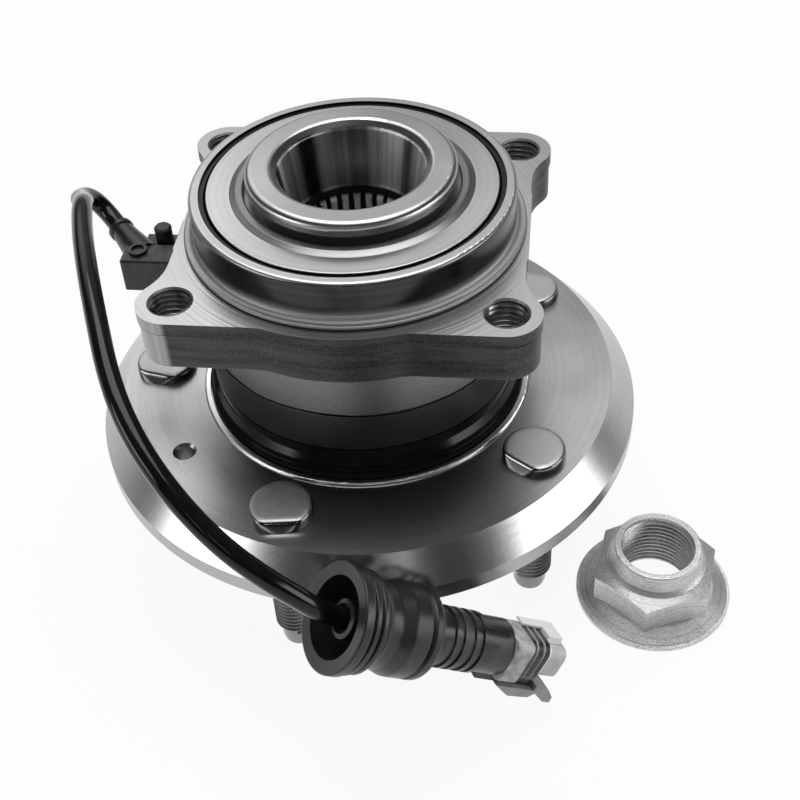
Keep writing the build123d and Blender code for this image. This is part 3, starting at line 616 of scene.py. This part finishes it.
# The spigot's glossy turned wall is painted almost black, as a painted dark reflection. At its foot
# it is duller and painted paler, as a painted highlight band.
on_spigot = faded(tree, height, bolt_flange_top + 0.0003, bolt_flange_top + 0.0011)
near_foot = faded(tree, height, bolt_flange_top + 0.0049, bolt_flange_top + 0.0018)
wall_dark_reflection = blended(tree, rings(tree, height, 500.0), 0.035, 0.065)
side_tone = blended(tree, on_spigot, scale_tone, blended(tree, near_foot, wall_dark_reflection, 0.36))
milled_tone = blended(tree, grain(tree, 80.0), 0.42, 0.52)
tree.links.new(blended(tree, machined, side_tone, milled_tone), shader.inputs["Base Color"])
side_roughness = blended(tree, on_spigot, 0.42, blended(tree, near_foot, 0.24, 0.55))
tree.links.new(blended(tree, machined, side_roughness, 0.36), shader.inputs["Roughness"])
turned = calc(tree, "MAXIMUM", machined, on_spigot)
lathe = rings(tree, radius, 1000.0, 1.0)
relief = blended(tree, turned, blended(tree, on_flange, skin, flow), lathe)
raised(tree, shader, relief, 0.16, 0.0003)
turned_gloss(tree, shader, 0.3)
dress(nodes["outer_ring"], scaled)

cut_steel = speckled("cut_thread_steel", 900.0, 0.45, 0.70, metallic=1.0, roughness=0.24)
for number, (side, end) in enumerate(((-1, -1), (1, -1), (1, 1), (-1, 1)), start=1):
    thread = wound(
        "knuckle_thread_" + str(number),
        root=0.00525,
        crest=0.00475,
        bottom=bolt_flange_under + 0.0005,
        pitch=thread_pitch,
        turns=8,
    )
    stood(thread, side * knuckle_hole_x, end * knuckle_hole_y)
    dress(thread, cut_steel)
    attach(thread, "housing")

# Inboard seal: black rubber lip in the outer ring, with a pressed steel slinger that turns
# with the inner ring and covers the seal.
seal_rubber = speckled("seal_rubber", 500.0, 0.006, 0.014, roughness=0.30, specular=0.25)
dress(nodes["inboard_seal"], seal_rubber)
pressed, tree, shader = finish_called("pressed_slinger", metallic=1.0, roughness=0.30)
drawn = rings(tree, axis_place(tree)["Radius"], 700.0, 1.0)
tree.links.new(blended(tree, drawn, 0.42, 0.56), shader.inputs["Base Color"])
raised(tree, shader, drawn, 0.06, 0.0001)
turned_gloss(tree, shader, 0.6)
dress(nodes["inboard_slinger"], pressed)

# Outboard seal: a glossy black skirt that runs inside a ring on the wheel flange, and its steel
# case.
skirt_rubber = speckled("skirt_rubber", 500.0, 0.004, 0.010, roughness=0.17, specular=0.22)
dress(nodes["outboard_seal_lips"], skirt_rubber)
case_steel = speckled("seal_case_steel", 300.0, 0.30, 0.40, metallic=1.0, roughness=0.35)
dress(nodes["outboard_seal_case"], case_steel)

# Ball rows: polished chrome steel balls in cages of filled nylon, with a sintered tone wheel
# between them.
chrome = speckled("polished_balls", 200.0, 0.58, 0.62, metallic=1.0, roughness=0.06)
nylon = speckled("cage_nylon", 700.0, 0.03, 0.06)
for row in ("outboard", "inboard"):
    dress(nodes[row + "_balls"], chrome)
    dress(nodes[row + "_cage"], nylon)
sintered = speckled("sintered_tone_wheel", 1500.0, 0.22, 0.34, detail=6.0, relief=0.3, metallic=1.0)
dress(nodes["tone_wheel"], sintered)

# Speed sensor: glass-filled black plastic, block and probe in one, with a rubber O-ring.
moulded, tree, shader = finish_called("sensor_plastic", roughness=0.42)
fibres = grain(tree, 380.0, 7.0, (2.5, 1, 1))
tone = blended(tree, faded(tree, fibres, 0.4, 0.7), 0.012, 0.035)
tree.links.new(tone, shader.inputs["Base Color"])
raised(tree, shader, fibres, 0.15, 0.0002)
dress(nodes["sensor_body"], moulded)
dress(nodes["sensor_probe"], moulded)
o_ring = speckled("o_ring_rubber", 600.0, 0.012, 0.024, roughness=0.45)
dress(nodes["sensor_probe_seal"], o_ring)

# Sensor bracket: folded sheet steel in dark phosphate, held by a screw of the same finish.
phosphate = speckled(
    "dark_phosphate", 900.0, 0.03, 0.07, detail=6.0, relief=0.2, metallic=0.7, roughness=0.42
)
dress(nodes["sensor_bracket"], phosphate)
dress(nodes["sensor_screw"], phosphate)

# Boot: soft rubber sleeve moulded over the lead where it leaves the sensor.
boot_rubber = speckled("boot_rubber", 500.0, 0.006, 0.014, roughness=0.34)
dress(nodes["lead_boot"], boot_rubber)

# Grommet: satin black rubber, moulded with two ridges and a waist for the body panel.
grommet_rubber, tree, shader = finish_called("grommet_rubber")
bloom = grain(tree, 60.0, 5.0)
tree.links.new(blended(tree, bloom, 0.008, 0.022), shader.inputs["Base Color"])
tree.links.new(faded(tree, bloom, 0.3, 0.7, 0.26, 0.38), shader.inputs["Roughness"])
raised(tree, shader, grain(tree, 1400.0), 0.10, 0.0001)
dress(nodes["lead_grommet"], grommet_rubber)

# Connector: black ribbed housing, grey lock plate, black square seal with three lips, milky
# nose and cap, and a grey latch.
connector_black, tree, shader = finish_called("connector_plastic")
smears = faded(tree, grain(tree, 240.0, 3.0), 0.35, 0.70)
tree.links.new(blended(tree, smears, 0.012, 0.050), shader.inputs["Base Color"])
tree.links.new(faded(tree, smears, 0.0, 1.0, 0.26, 0.42), shader.inputs["Roughness"])
dress(nodes["connector_housing"], connector_black)

# The gaps between the seal's lips are pale. Places along the connector's axis count from the
# part's origin for the grommet's mouth, and from that mouth for the start of the seal.
connector_axis = (0.738, 0.324, -0.592)
grommet_mouth, seal_start, lip_pitch = -0.0380, 0.0557, 0.0023
lip_rubber, tree, shader = finish_called("connector_seal_rubber", roughness=0.30)
along = add_node(tree, "ShaderNodeVectorMath", operation="DOT_PRODUCT")
along.inputs[1].default_value = connector_axis
tree.links.new(add_node(tree, "ShaderNodeTexCoord").outputs["Object"], along.inputs[0])
past_start = calc(tree, "SUBTRACT", along.outputs["Value"], grommet_mouth + seal_start)
within_pitch = calc(tree, "FRACT", calc(tree, "DIVIDE", past_start, lip_pitch))
black = blended(tree, grain(tree, 400.0), 0.004, 0.010)
tone = blended(tree, faded(tree, within_pitch, 0.74, 0.78), black, 0.75)
tree.links.new(tone, shader.inputs["Base Color"])
dress(nodes["connector_seal"], lip_rubber)
for name, dark, light in (
    ("connector_lock", 0.26, 0.50),
    ("connector_latch", 0.30, 0.36),
    ("connector_cap", 0.50, 0.60),
    ("connector_nose", 0.86, 0.92),
):
    plastic, tree, shader = finish_called(name + "_plastic", roughness=0.34)
    mottle = faded(tree, grain(tree, 300.0, 3.0), 0.35, 0.65)
    tree.links.new(blended(tree, mottle, dark, light), shader.inputs["Base Color"])
    dress(nodes[name], plastic)

# Axle nut: forged steel in grey phosphate, with a thin collar that is staked to the shaft.
nut_grey, tree, shader = finish_called("nut_phosphate", metallic=0.9, roughness=0.46)
specks = grain(tree, 2400.0, 3.0)
patches = grain(tree, 160.0, 5.0)
place = axis_place(tree, nut_centre)
tool_marks = rings(tree, calc(tree, "ADD", place["Radius"], place["Height"]), 1500.0)
tone = blended(tree, faded(tree, specks, 0.30, 0.50), 0.28, 0.70)
tone = blended(tree, faded(tree, patches, 0.35, 0.65, 0.0, 0.5), tone, 0.52)
tone = blended(tree, faded(tree, tool_marks, 0.55, 0.75, 0.0, 0.5), tone, 0.24)
tree.links.new(tone, shader.inputs["Base Color"])
raised(tree, shader, blended(tree, specks, tool_marks, specks), 0.35, 0.0002)
dress(nodes["axle_nut"], nut_grey)
thread = wound(
    "nut_thread",
    root=0.01025,
    crest=0.00965,
    bottom=ground_height + 0.0015,
    pitch=thread_pitch,
    turns=11,
)
stood(thread, *nut_centre)
dress(thread, nut_grey)
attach(thread, "nut")
